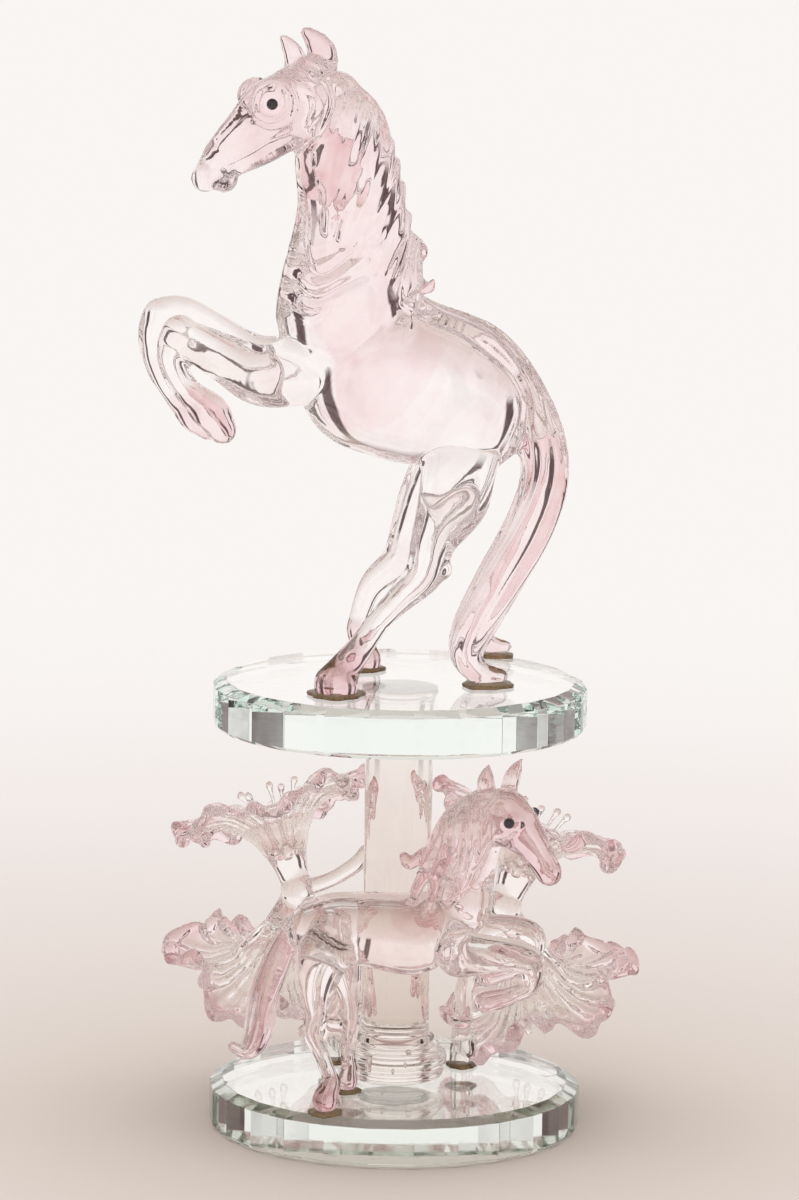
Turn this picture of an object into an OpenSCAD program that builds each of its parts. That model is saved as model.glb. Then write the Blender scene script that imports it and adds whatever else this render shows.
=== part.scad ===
// Two-tier crystal figurine: a rearing glass horse on an upper faceted disc, a glass column with
// two flower ornaments, and a small galloping horse on the lower disc.
// Millimetres, +Z up, origin at the middle of the underside, +X to the right of the front view.

/* [Discs] */
// Width of both discs across their corners
disc_d = 80; // [66:1:100]
// Number of flats cut round each rim
rim_flats = 26; // [18:1:36]
// Thickness of the lower disc
base_disc_t = 9.7; // [6:0.1:14]
// Thickness of the upper disc
upper_disc_t = 10; // [6:0.5:14]
// Width of the cut along each top edge, seen from above
bevel_w = 2.6; // [1:0.1:4]
// Height of the cut along each top edge
bevel_h = 1.3; // [0.6:0.1:2.5]
// Size of the small cut along each bottom edge
under_bevel = 0.8; // [0.3:0.1:1.5]
// Thickness of the mirror film under the lower disc
mirror_t = 0.3; // [0.2:0.05:0.6]

/* [Column] */
// Clear height between the two discs
tier_gap = 76.7; // [62:0.1:94]
// Diameter of the column
column_d = 14.4; // [11:0.1:18]
// Diameter of the flare at the top of the column
flare_d = 16.4; // [13:0.1:20]
// Height of the flare
flare_h = 3; // [1:0.5:6]
// Diameter of the cushion foot
foot_d = 22.4; // [18:0.1:27]
// Height of the cushion foot
foot_h = 8.3; // [6:0.1:11]
// Thickness of the clear glue films at the column's ends
glue_film_t = 0.3; // [0.2:0.05:0.6]

/* [Horses] */
// Height of the big horse, from the upper disc to its ear tips
big_horse_h = 140; // [110:1:170]
// Free height between the small horse's ear tips and the upper disc
ear_clearance = 2.1; // [0.5:0.1:8]
// Thickness of the amber glue pads
pad_t = 1; // [0.6:0.1:1.6]
// How far inside the rim the big horse's far tail strand stands
tail_inset = 11; // [8:0.5:14]
// How far inside the rim the small horse's middle line runs
small_horse_inset = 16; // [14:0.5:18]

/* [Flowers] */
// Turn of each flower ornament behind the column, from the sideways direction
flower_turn = 37; // [25:1:45]
// Distance of the blossoms' waist from the column's axis
waist_reach = 28; // [25:0.5:34]
// Distance of the stem's foot from the column's axis
stem_reach = 17.5; // [16:0.5:20]
// Outward lean of each blossom
blossom_lean = 24; // [12:1:28]
// Depth of an upper blossom's cup
upper_cup_h = 17; // [14:0.5:20]
// Depth of a lower blossom's cup
lower_cup_h = 20.5; // [15:0.5:21]
// Outer radius of a cup at its rim
cup_r = 10.5; // [8:0.5:11.5]
// Thickness of a cup's wall
cup_wall = 1.4; // [1:0.1:2]
// Number of petals round a cup
petals = 5; // [4:1:6]

/* [Hidden] */
base_top = mirror_t + base_disc_t;
upper_under = base_top + tier_gap;
upper_top = upper_under + upper_disc_t;
column_r = column_d / 2;
glass = [0.93, 0.86, 0.86, 0.5];
pink_glass = [0.9, 0.66, 0.7, 0.6];
rim_glass = [0.8, 0.88, 0.85, 0.5];
amber = [0.72, 0.5, 0.25];

// A stretch of glass is a list of [x, y, z, radius], measured on a horse of its design height.
big_design_h = 140;
small_design_h = 74.6;
big_k = big_horse_h / big_design_h;
small_k = (tier_gap - ear_clearance) / small_design_h;
big_pad_top = pad_t / big_k;
small_pad_top = pad_t / small_k;
tail_foot_y = (disc_d / 2 - tail_inset) / big_k;
// The small horse's far hind leg stands wide or close with the room between its middle line and the foot.
small_line_y = disc_d / 2 - small_horse_inset;
design_foot_room = 12.8;
far_stance = (small_line_y - foot_d / 2) / design_foot_room;
// Glass bodies are narrower than they are deep.
body_flat = 0.82;
limb_flat = 0.9;

big_body = [[-16, -8, 71.5, 12], [-9, -7, 67.5, 15.8], [0, -6, 66, 17.2], [8, -5.5, 64.5, 17.1], [15, -5, 62.3, 16.3]];
big_shoulder = [[-14, -8, 76, 11], [-4, -7, 73.5, 11.5], [6, -6, 72, 10]];
big_back = [[-2, -7, 80, 5], [8, -6, 76, 6], [18, -5, 72, 6]];
big_neck = [[-13.5, -8, 84, 12.5], [-13.5, -8, 94.5, 9.4], [-13.5, -8.5, 103, 7.8], [-15, -9, 111.5, 7.2], [-16, -9, 121.5, 6]];
big_head = [[-20.5, -9.5, 123, 7.2], [-27, -11.5, 121.5, 7.8], [-33, -13.5, 116.5, 5.8], [-38, -15.5, 111.5, 4.6], [-40, -16.5, 107, 3.8]];
big_near_ear = [[-19, -12.5, 130, 2.4], [-19.5, -13, 135, 2.1], [-21.5, -13.5, 139.2, 0.8]];
big_far_ear = [[-24.5, -7, 130, 2.2], [-25.3, -6.5, 134.5, 1.6], [-26.8, -6, 136.8, 0.6]];
big_near_eye = [-29, -16.5, 122.5, 3.4];
big_far_eye = [-32.5, -7.5, 124, 3.2];
big_mane = [
    [[-14, -9, 128, 3], [-7, -8, 123, 3.2], [-4, -8, 115.5, 3.2], [-2, -8, 106, 3.2], [1, -8, 96, 3], [5.5, -8, 87, 1.4]],
    [[-15, -12, 128, 3], [-10, -12, 122, 3.2], [-7, -12, 113.5, 3.4], [-5, -12, 103, 3.4], [-2, -12, 93, 3.2], [1.5, -12, 85, 2]],
    [[-16, -14, 127, 3], [-12.5, -14.5, 121, 3], [-10, -15, 113, 3], [-8, -15, 103, 3], [-6, -15, 92.5, 2.8], [-3, -15, 85.5, 1.6]],
    [[-17, -15, 124, 2.6], [-15, -15.5, 117.5, 2.8], [-13.5, -15.5, 109.5, 2.8], [-12.5, -15.5, 101, 2.4], [-10.5, -15.5, 90, 1.6]],
    [[-18, -15, 122, 2.4], [-17, -15, 115, 2.4], [-16.5, -15, 108, 2.2], [-15.5, -15, 101, 1.4]],
    [[-15, -5, 127, 3], [-9, -4, 121, 3.2], [-6, -3.5, 112, 3.2], [-4.5, -3.5, 102, 3], [-2.5, -3.5, 92, 2.4]]
];
big_near_foreleg = [[-22, -13, 68, 6.5], [-29.5, -15, 67.5, 5.7], [-36, -16.5, 70.5, 4.7], [-42.5, -17, 73.5, 4], [-47, -17, 74.5, 3.6], [-48.2, -17, 69.7, 3], [-46.5, -17, 65, 2.8], [-44, -17, 62, 2.8]];
big_near_forehoof = [[-44, -17, 62, 3.1], [-40.2, -17, 58.5, 4.2], [-37.7, -17, 55, 3.2]];
big_far_foreleg = [[-23, -2, 72, 6], [-32.5, 0, 72.7, 4.7], [-40, 1, 76, 4.2], [-47.5, 2, 77.4, 3.8], [-52, 2, 76, 3.4], [-52.6, 2, 70, 2.8], [-51, 2, 64, 2.5], [-47.7, 2, 59.3, 2.6]];
big_far_forehoof = [[-47.7, 2, 59.3, 2.9], [-44, 2, 55.5, 3.8], [-41.3, 2, 53, 3]];
big_near_hind_leg = [[13, -12, 46.5, 8.5], [9.8, -14.5, 39, 7], [6, -17, 31.5, 4.3], [4.6, -18, 25.5, 3.9], [-0.3, -18.5, 20.3, 3], [-4.8, -19, 15.4, 2.6], [-8.4, -20, 10, 2.8]];
big_near_hind_hoof = [[-8.4, -20, 10, 3], [-11.5, -21, 6, 3.5], [-13.3, -21, 2.5, 4.9]];
big_far_hind_leg = [[9, 2, 44.5, 7], [4, 3.5, 37, 5.4], [1, 5.5, 29, 4], [-0.5, 7, 24.5, 3.8], [-6, 8, 19.5, 2.8], [-8.3, 9, 14, 2.4], [-9.3, 10, 9, 2.3]];
big_far_hind_hoof = [[-9.3, 10, 9, 2.6], [-8.3, 10, 5.5, 2.8], [-7.8, 10, 2.2, 3.9]];
big_near_tail = [[27, -4, 63.5, 3.2], [31, -5, 54, 3.8], [30.8, -6, 43.4, 4], [26.8, -7, 33, 4.2], [20.7, -7, 21.3, 4], [15.4, -7, 11.7, 3.6], [14.3, -7, 6.5, 3.3], [16.4, -7, 3, 2.6], [21.5, -7, 2.2, 1.5]];
big_far_tail = [[27, 0, 62, 3], [30.5, 4, 52.5, 3.5], [30.2, tail_foot_y * 0.35, 41, 3.6], [26.3, tail_foot_y * 0.55, 29.5, 3.6], [20.6, tail_foot_y * 0.72, 17, 3.2], [17.3, tail_foot_y * 0.86, 8.5, 2.8], [18.5, tail_foot_y * 0.97, 3.3, 2.2], [23, tail_foot_y, 2.2, 1.4]];
// Glue pads are [x, y, radius].
big_pads = [[-13.3, -21, 6.1], [-7.8, 10, 4.6], [18.3, -7, 5.8], [20.8, tail_foot_y, 4]];

small_body = [[10, 0, 38.6, 7], [6.5, 0, 38, 8], [3, 0, 36.8, 8.8], [-4.5, 0, 37.5, 8.1], [-12.8, 0, 38, 7.4], [-16.5, 0, 37.5, 6.6]];
small_neck = [[13.7, 0, 42.5, 6.2], [15.2, 0, 50.4, 5.4], [17.2, -0.5, 57, 4.8], [19.6, -1, 62.3, 4.7]];
small_head = [[22, -1.5, 63, 5.6], [25.5, -3.5, 59.8, 4.7], [29, -6, 55.7, 3.4], [31.5, -7.5, 51.8, 2.8]];
small_near_ear = [[18.6, -3.5, 67.5, 1.7], [18.4, -4, 71.5, 1.5], [18.5, -4.5, 74, 0.6]];
small_far_ear = [[22.9, 1.8, 67.5, 1.7], [23.9, 2.2, 71, 1.5], [25.5, 2.6, 73.8, 0.6]];
small_near_eye = [23, -7, 62.3, 1.7];
small_far_eye = [28, 1, 63, 1.9];
small_mane = [
    [[18.5, 0, 67, 2], [12, 0, 63.5, 2.4], [7, 0, 57.5, 2.4], [1.6, 0, 52.5, 1.4]],
    [[19, -3, 66, 2], [14, -3, 60.5, 2.4], [10, -3, 54, 2.4], [6, -3, 48.5, 1.5]],
    [[19, -5, 64.5, 1.8], [16, -5, 58, 2.2], [14, -5, 51.5, 2.2], [11, -6, 46.5, 1.4]],
    [[12.5, 3, 62, 2], [9, 3.4, 56, 2], [6, 3.4, 50, 1.4]]
];
small_near_foreleg = [[13, -5, 33.5, 4.8], [21.7, -7, 34, 3.7], [28, -7, 32.5, 3.2], [27.7, -7, 27.5, 2.1], [23.5, -7, 25.3, 1.9]];
small_near_forehoof = [[23.5, -7, 25.3, 2.1], [18.8, -7, 24, 2.5]];
small_far_foreleg = [[13, 4, 34.5, 4.6], [22, 6, 36.5, 3.4], [28.5, 6.5, 35, 3], [28, 6.5, 30, 2], [24, 6.5, 27.8, 1.9]];
small_far_forehoof = [[24, 6.5, 27.8, 2.1], [19.5, 6.5, 26.5, 2.4]];
small_near_hind_leg = [[-15, -4.5, 35, 6], [-16.4, -6.5, 27.3, 4.2], [-16, -8, 21.8, 2.6], [-17.2, -8, 17.2, 2.1], [-15, -8, 12, 1.7], [-13, -9, 7, 1.7]];
small_near_hind_hoof = [[-13, -9, 7, 2], [-14.4, -9, 3, 2.9]];
small_far_hind_leg = [[-12, 4 * far_stance, 31, 4.6], [-10, 6 * far_stance, 23, 2.7], [-9.2, 8 * far_stance, 17, 2.1], [-9.9, 9 * far_stance, 10.4, 1.6], [-9.6, 9.5 * far_stance, 5.4, 1.6]];
small_far_hind_hoof = [[-9.6, 9.5 * far_stance, 5.4, 1.9], [-10, 9.5 * far_stance, 2.4, 2.4]];
small_tail = [[-21.5, 0, 38, 2.4], [-24.7, 0, 31, 3], [-27.6, 0, 22.4, 3.2], [-28.8, 0, 14.8, 3], [-31, 0, 11, 2], [-34, 0, 12, 1.2]];
small_pads = [[-14.4, -9, 3.6], [-10, 9.5 * far_stance, 3]];

// The flowers lie in a plane that turns about the column: x is the distance from the column's axis.
waist_z = tier_gap * 0.478;
waist_r = 3.2;
waist_half_h = 2;
stem_r = 2.1;
arm = [[waist_reach, 0, waist_z, 2], [waist_reach - 9, 0, waist_z + 3.5, 1.7], [column_r + 4.5, 0, waist_z + 8, 1.8], [column_r, 0, waist_z + 12, 2.4]];
stem = [[stem_reach, 0, pad_t, stem_r + 0.5], [stem_reach, 0, 9, stem_r], [stem_reach + 0.5, 0, waist_z / 2, stem_r], [stem_reach + 4, 0, waist_z - 9, stem_r], [waist_reach - 1.5, 0, waist_z - 1, stem_r]];
stem_pad_r = 3.4;

// ---- shared shapes ----

// Outline of a disc, a corner of it facing turned towards +X
module rim_outline(r) {
    polygon([for (i = [0 : rim_flats - 1]) let (a = (i + 0.5) * 360 / rim_flats) [r * cos(a), r * sin(a)]]);
}

// A faceted disc with a flat cut along the top and bottom edge of every rim face
module faceted_disc(t) {
    flat_r = disc_d / 2 * cos(180 / rim_flats);
    lean = atan(bevel_h / bevel_w);
    cut = disc_d / 3;
    difference() {
        linear_extrude(t) rim_outline(disc_d / 2);
        for (i = [0 : rim_flats - 1]) rotate([0, 0, i * 360 / rim_flats]) {
            translate([flat_r - bevel_w, 0, t]) rotate([0, lean, 0])
                translate([-1, -cut / 2, 0]) cube([6, cut, 5]);
            translate([flat_r - under_bevel, 0, 0]) rotate([0, -45, 0])
                translate([-1, -cut / 2, -5]) cube([6, cut, 5]);
        }
    }
}

// One bead of a glass gather
module bead(s, flat, facets) {
    translate([s[0], s[1], s[2]]) scale([1, flat, 1]) sphere(r = s[3], $fn = facets);
}

// Glass drawn through a list of beads
module drawn(path, flat = limb_flat, facets = 12) {
    for (i = [0 : len(path) - 2]) hull() {
        bead(path[i], flat, facets);
        bead(path[i + 1], flat, facets);
    }
}

// Everything below a seat height, which a foot on a pad doesn't reach
module below(z) {
    translate([-100, -100, z - 50]) cube([200, 200, 50]);
}

module on_upper_disc() {
    translate([0, 0, upper_top]) scale(big_k) children();
}

module on_lower_disc() {
    translate([0, -small_line_y, base_top]) scale(small_k) children();
}

module glue_pads(pads, h) {
    for (p = pads) translate([p[0], p[1], 0]) cylinder(r = p[2], h = h, $fn = 48);
}

// ---- discs and column ----

module base_mirror() {
    color("silver") linear_extrude(mirror_t) rim_outline(disc_d / 2 - under_bevel);
}

module base_disc() {
    color(rim_glass) translate([0, 0, mirror_t]) faceted_disc(base_disc_t);
}

module foot_glue() {
    color(amber) translate([0, 0, base_top]) cylinder(r = foot_d / 2 - foot_h * 0.4, h = glue_film_t, $fn = 64);
}

module column_foot() {
    edge = foot_h * 0.44;
    color(glass) translate([0, 0, base_top + glue_film_t]) rotate_extrude($fn = 96) {
        square([foot_d / 2 - edge, foot_h - glue_film_t]);
        intersection() {
            translate([foot_d / 2 - edge, (foot_h - glue_film_t) / 2]) circle(r = edge, $fn = 48);
            square([foot_d, foot_h - glue_film_t]);
        }
    }
}

module column() {
    color(glass) translate([0, 0, base_top + foot_h]) {
        h = tier_gap - foot_h - glue_film_t;
        cylinder(r = column_r, h = h, $fn = 96);
        translate([0, 0, h - flare_h]) cylinder(r1 = column_r, r2 = flare_d / 2, h = flare_h, $fn = 96);
        cylinder(r1 = flare_d / 2, r2 = column_r, h = flare_h / 2, $fn = 96);
    }
}

module column_top_glue() {
    color(amber) translate([0, 0, upper_under - glue_film_t]) cylinder(r = flare_d / 2, h = glue_film_t, $fn = 64);
}

module upper_disc() {
    color(rim_glass) translate([0, 0, upper_under]) faceted_disc(upper_disc_t);
}

// ---- big horse ----

module big_body_glass() {
    drawn(big_body, body_flat, 16);
    drawn(big_shoulder, body_flat);
    drawn(big_back, body_flat);
}
module big_neck_glass() drawn(big_neck, body_flat, 14);
module big_head_glass() drawn(big_head, body_flat, 14);
module big_ear_glass() {
    drawn(big_near_ear, 0.8, 8);
    drawn(big_far_ear, 0.8, 8);
}
module big_leg_glass() {
    drawn(big_near_foreleg);
    drawn(big_far_foreleg);
    drawn(big_near_hind_leg);
    drawn(big_far_hind_leg);
}

module big_horse_body() {
    color(glass) on_upper_disc() big_body_glass();
}

module big_horse_neck() {
    color(glass) on_upper_disc() difference() {
        big_neck_glass();
        big_body_glass();
    }
}

module big_horse_head() {
    color(pink_glass) on_upper_disc() difference() {
        big_head_glass();
        big_neck_glass();
    }
}

module big_horse_ears() {
    color(pink_glass) on_upper_disc() difference() {
        big_ear_glass();
        big_head_glass();
        big_neck_glass();
    }
}

module big_horse_eyes() {
    color([0.1, 0.08, 0.08]) on_upper_disc() difference() {
        for (eye = [big_near_eye, big_far_eye]) hull() bead(eye, 1, 16);
        big_head_glass();
        big_neck_glass();
    }
}

module big_horse_mane() {
    color(pink_glass) on_upper_disc() difference() {
        for (strand = big_mane) drawn(strand, limb_flat, 8);
        big_neck_glass();
        big_head_glass();
        big_body_glass();
        big_ear_glass();
    }
}

module big_horse_near_foreleg() {
    color(glass) on_upper_disc() difference() {
        drawn(big_near_foreleg);
        big_body_glass();
    }
}

module big_horse_far_foreleg() {
    color(glass) on_upper_disc() difference() {
        drawn(big_far_foreleg);
        big_body_glass();
        drawn(big_near_foreleg);
    }
}

module big_horse_front_hooves() {
    color(pink_glass) on_upper_disc() difference() {
        union() {
            drawn(big_near_forehoof);
            drawn(big_far_forehoof);
        }
        big_leg_glass();
    }
}

module big_horse_near_hind_leg() {
    color(glass) on_upper_disc() difference() {
        drawn(big_near_hind_leg);
        big_body_glass();
    }
}

module big_horse_far_hind_leg() {
    color(glass) on_upper_disc() difference() {
        drawn(big_far_hind_leg);
        big_body_glass();
        drawn(big_near_hind_leg);
    }
}

module big_horse_hind_hooves() {
    color(pink_glass) on_upper_disc() difference() {
        union() {
            drawn(big_near_hind_hoof);
            drawn(big_far_hind_hoof);
        }
        big_leg_glass();
        below(big_pad_top);
    }
}

module big_horse_near_tail() {
    color(pink_glass) on_upper_disc() difference() {
        drawn(big_near_tail);
        big_body_glass();
        below(big_pad_top);
    }
}

module big_horse_far_tail() {
    color(pink_glass) on_upper_disc() difference() {
        drawn(big_far_tail);
        big_body_glass();
        drawn(big_near_tail);
        below(big_pad_top);
    }
}

module big_horse_glue_pads() {
    color(amber) on_upper_disc() glue_pads(big_pads, big_pad_top);
}

// ---- small horse ----

module small_body_glass() drawn(small_body, body_flat, 14);
module small_neck_glass() drawn(small_neck, body_flat);
module small_head_glass() drawn(small_head, body_flat);
module small_ear_glass() {
    drawn(small_near_ear, 0.8, 8);
    drawn(small_far_ear, 0.8, 8);
}
module small_leg_glass() {
    drawn(small_near_foreleg);
    drawn(small_far_foreleg);
    drawn(small_near_hind_leg);
    drawn(small_far_hind_leg);
}

module small_horse_body() {
    color(glass) on_lower_disc() small_body_glass();
}

module small_horse_neck() {
    color(glass) on_lower_disc() difference() {
        small_neck_glass();
        small_body_glass();
    }
}

module small_horse_head() {
    color(pink_glass) on_lower_disc() difference() {
        small_head_glass();
        small_neck_glass();
        small_body_glass();
    }
}

module small_horse_ears() {
    color(pink_glass) on_lower_disc() difference() {
        small_ear_glass();
        small_head_glass();
        small_neck_glass();
    }
}

module small_horse_eyes() {
    color([0.1, 0.08, 0.08]) on_lower_disc() difference() {
        for (eye = [small_near_eye, small_far_eye]) hull() bead(eye, 1, 14);
        small_head_glass();
        small_neck_glass();
    }
}

module small_horse_mane() {
    color(pink_glass) on_lower_disc() difference() {
        for (strand = small_mane) drawn(strand, limb_flat, 8);
        small_neck_glass();
        small_head_glass();
        small_body_glass();
        small_ear_glass();
    }
}

module small_horse_near_foreleg() {
    color(glass) on_lower_disc() difference() {
        drawn(small_near_foreleg);
        small_body_glass();
        small_neck_glass();
    }
}

module small_horse_far_foreleg() {
    color(glass) on_lower_disc() difference() {
        drawn(small_far_foreleg);
        small_body_glass();
        small_neck_glass();
        drawn(small_near_foreleg);
    }
}

module small_horse_near_hind_leg() {
    color(glass) on_lower_disc() difference() {
        drawn(small_near_hind_leg);
        small_body_glass();
    }
}

module small_horse_far_hind_leg() {
    color(glass) on_lower_disc() difference() {
        drawn(small_far_hind_leg);
        small_body_glass();
        drawn(small_near_hind_leg);
    }
}

module small_horse_hooves() {
    color(pink_glass) on_lower_disc() difference() {
        union() {
            drawn(small_near_forehoof);
            drawn(small_far_forehoof);
            drawn(small_near_hind_hoof);
            drawn(small_far_hind_hoof);
        }
        small_leg_glass();
        below(small_pad_top);
    }
}

module small_horse_tail() {
    color(pink_glass) on_lower_disc() difference() {
        drawn(small_tail);
        small_body_glass();
        drawn(small_near_hind_leg);
    }
}

module small_horse_glue_pads() {
    color(amber) on_lower_disc() glue_pads(small_pads, small_pad_top);
}

// ---- flower ornaments ----

// The right one stands behind the column to the right, and the left one is its mirror image.
module flower_plane(side) {
    mirror([side == "left" ? 1 : 0, 0, 0]) rotate([0, 0, flower_turn]) translate([0, 0, base_top]) children();
}

// One blossom, its cup's foot at the origin and its mouth towards +Z
module blossom_glass(cup_h) {
    rotate_extrude($fn = 24) polygon([
        [0, 0], [waist_r, 0], [waist_r + 0.8, cup_h * 0.3], [cup_r * 0.7, cup_h * 0.65], [cup_r, cup_h],
        [cup_r - cup_wall, cup_h], [cup_r * 0.7 - cup_wall, cup_h * 0.65], [waist_r - 1, cup_h * 0.3], [0, cup_h * 0.25]
    ]);
    for (i = [0 : petals - 1]) rotate([0, 0, i * 360 / petals])
        drawn([[cup_r - 1.2, 0, cup_h - 1, 1.2], [cup_r + 3.5, 0, cup_h + 1, 1.5], [cup_r + 8.5, 0, cup_h + 0.5, 1.3]], 3.4, 8);
}

// Both blossoms lean out from the waist, the upper one up and the lower one down.
module upper_blossom_glass() {
    translate([waist_reach, 0, waist_z]) rotate([0, blossom_lean, 0]) translate([0, 0, waist_half_h])
        blossom_glass(upper_cup_h);
}
module lower_blossom_glass() {
    translate([waist_reach, 0, waist_z]) mirror([0, 0, 1]) rotate([0, blossom_lean, 0]) translate([0, 0, waist_half_h])
        blossom_glass(lower_cup_h);
}
module waist_ball() {
    translate([waist_reach, 0, waist_z]) sphere(r = sqrt(waist_r * waist_r + waist_half_h * waist_half_h), $fn = 48);
}
module column_space() {
    cylinder(r = column_r, h = tier_gap, $fn = 96);
}

module waist(side) {
    color(glass) flower_plane(side) difference() {
        waist_ball();
        for (up = [0, 1]) translate([waist_reach, 0, waist_z]) mirror([0, 0, up])
            rotate([0, blossom_lean, 0]) translate([-5, -5, waist_half_h]) cube([10, 10, 5]);
    }
}

module stem_glass(side) {
    color(glass) flower_plane(side) difference() {
        drawn(stem, 1);
        lower_blossom_glass();
        waist_ball();
        below(pad_t);
    }
}

module arm_glass(side) {
    color(glass) flower_plane(side) difference() {
        drawn(arm, 1);
        upper_blossom_glass();
        waist_ball();
        column_space();
        drawn(stem, 1);
    }
}

module upper_blossom(side) {
    color(pink_glass) flower_plane(side) upper_blossom_glass();
}

module lower_blossom(side) {
    color(pink_glass) flower_plane(side) lower_blossom_glass();
}

module right_waist() waist("right");
module right_stem() stem_glass("right");
module right_arm() arm_glass("right");
module right_upper_blossom() upper_blossom("right");
module right_lower_blossom() lower_blossom("right");
module left_waist() waist("left");
module left_stem() stem_glass("left");
module left_arm() arm_glass("left");
module left_upper_blossom() upper_blossom("left");
module left_lower_blossom() lower_blossom("left");

module stem_glue_pads() {
    color(amber) for (side = ["left", "right"]) flower_plane(side) glue_pads([[stem_reach, 0, stem_pad_r]], pad_t);
}

base_mirror();
base_disc();
foot_glue();
column_foot();
column();
column_top_glue();
upper_disc();
big_horse_body();
big_horse_neck();
big_horse_head();
big_horse_ears();
big_horse_eyes();
big_horse_mane();
big_horse_near_foreleg();
big_horse_far_foreleg();
big_horse_front_hooves();
big_horse_near_hind_leg();
big_horse_far_hind_leg();
big_horse_hind_hooves();
big_horse_near_tail();
big_horse_far_tail();
big_horse_glue_pads();
small_horse_body();
small_horse_neck();
small_horse_head();
small_horse_ears();
small_horse_eyes();
small_horse_mane();
small_horse_near_foreleg();
small_horse_far_foreleg();
small_horse_near_hind_leg();
small_horse_far_hind_leg();
small_horse_hooves();
small_horse_tail();
small_horse_glue_pads();
right_waist();
right_stem();
right_arm();
right_upper_blossom();
right_lower_blossom();
left_waist();
left_stem();
left_arm();
left_upper_blossom();
left_lower_blossom();
stem_glue_pads();
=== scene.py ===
import math

import bmesh
import bpy
import numpy as np
from mathutils import Matrix, Quaternion, Vector
from mathutils.kdtree import KDTree


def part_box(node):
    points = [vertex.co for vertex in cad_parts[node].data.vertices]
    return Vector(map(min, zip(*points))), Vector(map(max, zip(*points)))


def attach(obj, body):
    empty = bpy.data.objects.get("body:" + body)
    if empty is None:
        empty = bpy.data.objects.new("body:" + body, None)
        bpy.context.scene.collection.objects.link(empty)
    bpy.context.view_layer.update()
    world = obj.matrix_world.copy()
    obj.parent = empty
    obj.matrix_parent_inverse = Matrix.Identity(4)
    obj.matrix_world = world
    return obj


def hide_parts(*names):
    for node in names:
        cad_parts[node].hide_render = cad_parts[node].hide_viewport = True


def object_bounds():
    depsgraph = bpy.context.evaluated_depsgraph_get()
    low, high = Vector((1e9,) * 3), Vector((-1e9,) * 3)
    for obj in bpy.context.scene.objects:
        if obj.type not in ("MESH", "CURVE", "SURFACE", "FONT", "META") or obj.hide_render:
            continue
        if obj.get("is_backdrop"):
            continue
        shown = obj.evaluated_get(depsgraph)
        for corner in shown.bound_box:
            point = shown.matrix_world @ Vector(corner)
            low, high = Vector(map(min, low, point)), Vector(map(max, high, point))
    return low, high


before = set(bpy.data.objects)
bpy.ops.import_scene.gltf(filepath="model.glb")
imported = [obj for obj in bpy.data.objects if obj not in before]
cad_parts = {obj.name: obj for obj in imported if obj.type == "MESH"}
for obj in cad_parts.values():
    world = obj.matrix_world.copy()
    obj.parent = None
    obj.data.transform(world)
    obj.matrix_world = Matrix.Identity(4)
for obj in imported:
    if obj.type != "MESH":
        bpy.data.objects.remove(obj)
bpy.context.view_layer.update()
scene = bpy.context.scene


# ---- Studio ----
# A pale sweep of paper lit from all round by tall soft boxes with narrow dark gaps between them.
# Glass has no colour of its own, so the gaps are what draw its edges.

def maths(tree, operation, a, b=0.0, clamp=False):
    """One Math node. a and b are numbers or sockets."""
    node = tree.nodes.new("ShaderNodeMath")
    node.operation = operation
    node.use_clamp = clamp
    for socket, value in zip(node.inputs, (a, b)):
        if isinstance(value, bpy.types.NodeSocket):
            tree.links.new(value, socket)
        else:
            socket.default_value = value
    return node.outputs[0]


def ramp(tree, factor, stops, smooth=True):
    """A colour ramp over stops of (place, colour)."""
    node = tree.nodes.new("ShaderNodeValToRGB")
    node.color_ramp.interpolation = "EASE" if smooth else "LINEAR"
    tree.links.new(factor, node.inputs["Fac"])
    elements = node.color_ramp.elements
    elements[0].position, elements[0].color = stops[0][0], (*stops[0][1], 1)
    elements[1].position, elements[1].color = stops[-1][0], (*stops[-1][1], 1)
    for place, colour in stops[1:-1]:
        element = elements.new(place)
        element.color = (*colour, 1)
    return node.outputs["Color"]


def blend_colours(tree, factor, a, b):
    """A and b are colours or sockets, and factor is a number or a socket."""
    node = tree.nodes.new("ShaderNodeMix")
    node.data_type = "RGBA"
    for socket, value in zip((node.inputs[0], node.inputs[6], node.inputs[7]), (factor, a, b)):
        if isinstance(value, bpy.types.NodeSocket):
            tree.links.new(value, socket)
        else:
            socket.default_value = (*value, 1) if isinstance(value, tuple) else value
    return node.outputs[2]


PAPER_FAR = (0.947, 0.913, 0.896)
# The floor's colours from its middle outwards, darker and warmer near the middle where the pieces stand:
# painted shade.
PAPER_SHADE_TONES = [(0.05, (0.775, 0.672, 0.60)), (0.11, (0.80, 0.712, 0.655)), (0.22, (0.847, 0.768, 0.730)),
               (0.35, (0.896, 0.840, 0.815)), (0.5, (0.93, 0.885, 0.865)), (0.7, PAPER_FAR)]
PAPER_LIGHT = 1.25
SOFT_BOX = (1.0, 0.962, 0.94)
BROWN_GAP, GREY_GAP, HIGH_GAP = (0.10, 0.058, 0.058), (0.19, 0.175, 0.158), (0.60, 0.54, 0.47)
CEILING = (0.36, 0.29, 0.28)
# Each gap's bearing from straight behind and half its width, in degrees, with its colour.
GAPS = [(30, 6, BROWN_GAP), (60, 10, BROWN_GAP), (93, 13, GREY_GAP), (140, 9, BROWN_GAP)]
GAP_EDGE = 28.0
HIGH_FROM, CEILING_FROM, HEIGHT_FADE = 0.45, 0.62, 4.0
FLOOR_R = 0.75

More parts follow.
